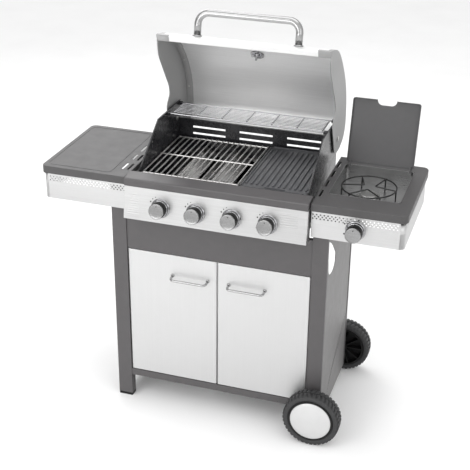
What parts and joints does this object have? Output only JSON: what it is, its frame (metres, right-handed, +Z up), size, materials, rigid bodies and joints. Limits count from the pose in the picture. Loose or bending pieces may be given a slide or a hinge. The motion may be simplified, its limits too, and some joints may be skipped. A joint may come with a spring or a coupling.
{
  "type": "gas barbecue grill",
  "caption": "Wheeled gas barbecue with open hood, wire grate and griddle, control knobs, side shelves, lidded side burner, cabinet with doors and a grease tray.",
  "frame": {"origin": "on the floor, under the middle of the whole object's footprint (bounding box, hood and side lid open)", "axes": "+X to the cook's right (side burner end), +Y to the back, +Z up"},
  "size_m": [1.26, 0.626, 1.3842],
  "materials": {
    "dark_paint": "fine powder coat, warm dark grey",
    "side_paint": "powder coat, mid grey",
    "shelf_paint": "powder coat, dark grey",
    "satin_silver": "satin silver paint",
    "stainless": "brushed along the length",
    "cap_grey": "satin grey paint",
    "black_enamel": "porcelain enamel",
    "pan_steel": "satin",
    "cast_iron": "enamelled cast iron",
    "grate_steel": "nickel plated wire",
    "black_wire": "black enamel on wire",
    "chrome": "bright plating",
    "zinc": "zinc plated",
    "brass": "as cast",
    "burner_alloy": "cast, satin",
    "knob_silver": "silver plated plastic",
    "galvanised": "galvanised sheet",
    "black_plastic": "moulded",
    "tyre": "solid rubber",
    "wheel_silver": "satin silver"
  },
  "bodies": {
    "cart": {"legs_left": "dark_paint", "legs_right": "dark_paint", "lower_rail_front": "dark_paint", "apron_front": "dark_paint", "front_trim": "dark_paint", "rear_rails": "dark_paint", "base_shelf": "dark_paint", "side_panel_left": "side_paint", "side_panel_right": "side_paint", "shelf_left_top": "shelf_paint", "shelf_right_top": "shelf_paint", "control_panel": "stainless", "shelf_left_fascia": "stainless", "shelf_right_fascia": "stainless", "flame_tamers": "stainless", "burner_tubes": "stainless", "firebox_side_left": "black_enamel", "firebox_side_right": "black_enamel", "firebox_floor": "black_enamel", "firebox_rear_wall": "black_enamel", "side_burner_pan": "pan_steel", "knob_bezels": "chrome", "door_hinge_pins": "zinc", "hood_hinge_pins": "zinc", "axle": "zinc", "manifold_pipe": "zinc", "gas_valves": "brass", "side_burner_head": "burner_alloy", "leg_feet": "black_plastic"},
    "hood": {"hood_shell": "stainless", "hood_cap_left": "cap_grey", "hood_cap_right": "cap_grey", "hood_handle": "stainless", "thermometer": "zinc"},
    "side_lid": {"side_burner_lid": "shelf_paint"},
    "left_door": {"door_left": "satin_silver", "door_handle_left": "chrome"},
    "right_door": {"door_right": "satin_silver", "door_handle_right": "chrome"},
    "front_wheel": {"wheel_front_tyre": "tyre", "wheel_front_rim": "black_plastic", "wheel_front_cap": "wheel_silver"},
    "rear_wheel": {"wheel_rear_tyre": "tyre", "wheel_rear_rim": "black_plastic", "wheel_rear_cap": "wheel_silver"},
    "tray": {"grease_tray": "galvanised"},
    "grate": {"cooking_grate": "grate_steel"},
    "plate": {"griddle": "cast_iron"},
    "rack": {"warming_rack": "chrome"},
    "pot_stand": {"trivet": "black_wire"},
    "stem_1": {"valve_stem_1": "zinc"},
    "dial_1": {"knob_1": "knob_silver"},
    "stem_2": {"valve_stem_2": "zinc"},
    "dial_2": {"knob_2": "knob_silver"},
    "stem_3": {"valve_stem_3": "zinc"},
    "dial_3": {"knob_3": "knob_silver"},
    "stem_4": {"valve_stem_4": "zinc"},
    "dial_4": {"knob_4": "knob_silver"},
    "stem_5": {"valve_stem_5": "zinc"},
    "dial_5": {"knob_5": "knob_silver"}
  },
  "joints": [
    {"name": "hood_hinge", "type": "hinge", "parent": "cart", "child": "hood", "pos_m": [0, 0.18764, 0.95], "axis": [-1, 0, 0], "range_deg": [-73, 0]},
    {"name": "side_lid_hinge", "type": "hinge", "parent": "cart", "child": "side_lid", "pos_m": [0.47, 0.11164, 0.892], "axis": [-1, 0, 0], "range_deg": [-103.5, 0]},
    {"name": "left_door_hinge", "type": "hinge", "parent": "cart", "child": "left_door", "pos_m": [-0.319, -0.21136, 0.366], "axis": [0, 0, 1], "range_deg": [-90, 0]},
    {"name": "right_door_hinge", "type": "hinge", "parent": "cart", "child": "right_door", "pos_m": [0.319, -0.21136, 0.366], "axis": [0, 0, 1], "range_deg": [0, 26]},
    {"name": "front_wheel_spin", "type": "hinge", "parent": "cart", "child": "front_wheel", "pos_m": [0.366, -0.27236, 0.1], "axis": [0, 1, 0], "continuous": true},
    {"name": "rear_wheel_spin", "type": "hinge", "parent": "cart", "child": "rear_wheel", "pos_m": [0.366, 0.22264, 0.1], "axis": [0, 1, 0], "continuous": true},
    {"name": "tray_slide", "type": "slide", "parent": "cart", "child": "tray", "axis": [0, 1, 0], "range_m": [0, 0.25]},
    {"name": "grate_lift", "type": "slide", "parent": "cart", "child": "grate", "axis": [0, 0, 1], "range_m": [0, 0.1]},
    {"name": "plate_lift", "type": "slide", "parent": "cart", "child": "plate", "axis": [0, 0, 1], "range_m": [0, 0.1]},
    {"name": "rack_lift", "type": "slide", "parent": "cart", "child": "rack", "axis": [0, 0, 1], "range_m": [0, 0.08]},
    {"name": "pot_stand_lift", "type": "slide", "parent": "cart", "child": "pot_stand", "axis": [0, 0, 1], "range_m": [0, 0.1]},
    {"name": "knob_1_push", "type": "slide", "parent": "cart", "child": "stem_1", "axis": [0, 0.9923, -0.124], "range_m": [0, 0.004], "stiffness_N_per_m": 1500, "springref_m": -0.003},
    {"name": "knob_1_turn", "type": "hinge", "parent": "stem_1", "child": "dial_1", "pos_m": [-0.185, -0.25986, 0.802], "axis": [0, -0.9923, 0.124], "range_deg": [0, 180]},
    {"name": "knob_2_push", "type": "slide", "parent": "cart", "child": "stem_2", "axis": [0, 0.9923, -0.124], "range_m": [0, 0.004], "stiffness_N_per_m": 1500, "springref_m": -0.003},
    {"name": "knob_2_turn", "type": "hinge", "parent": "stem_2", "child": "dial_2", "pos_m": [-0.062, -0.25986, 0.802], "axis": [0, -0.9923, 0.124], "range_deg": [0, 180]},
    {"name": "knob_3_push", "type": "slide", "parent": "cart", "child": "stem_3", "axis": [0, 0.9923, -0.124], "range_m": [0, 0.004], "stiffness_N_per_m": 1500, "springref_m": -0.003},
    {"name": "knob_3_turn", "type": "hinge", "parent": "stem_3", "child": "dial_3", "pos_m": [0.062, -0.25986, 0.802], "axis": [0, -0.9923, 0.124], "range_deg": [0, 180]},
    {"name": "knob_4_push", "type": "slide", "parent": "cart", "child": "stem_4", "axis": [0, 0.9923, -0.124], "range_m": [0, 0.004], "stiffness_N_per_m": 1500, "springref_m": -0.003},
    {"name": "knob_4_turn", "type": "hinge", "parent": "stem_4", "child": "dial_4", "pos_m": [0.185, -0.25986, 0.802], "axis": [0, -0.9923, 0.124], "range_deg": [0, 180]},
    {"name": "knob_5_push", "type": "slide", "parent": "cart", "child": "stem_5", "axis": [0, 1, 0], "range_m": [0, 0.004], "stiffness_N_per_m": 1500, "springref_m": -0.003},
    {"name": "knob_5_turn", "type": "hinge", "parent": "stem_5", "child": "dial_5", "pos_m": [0.466, -0.23236, 0.812], "axis": [0, -1, 0], "range_deg": [0, 180]}
  ]
}
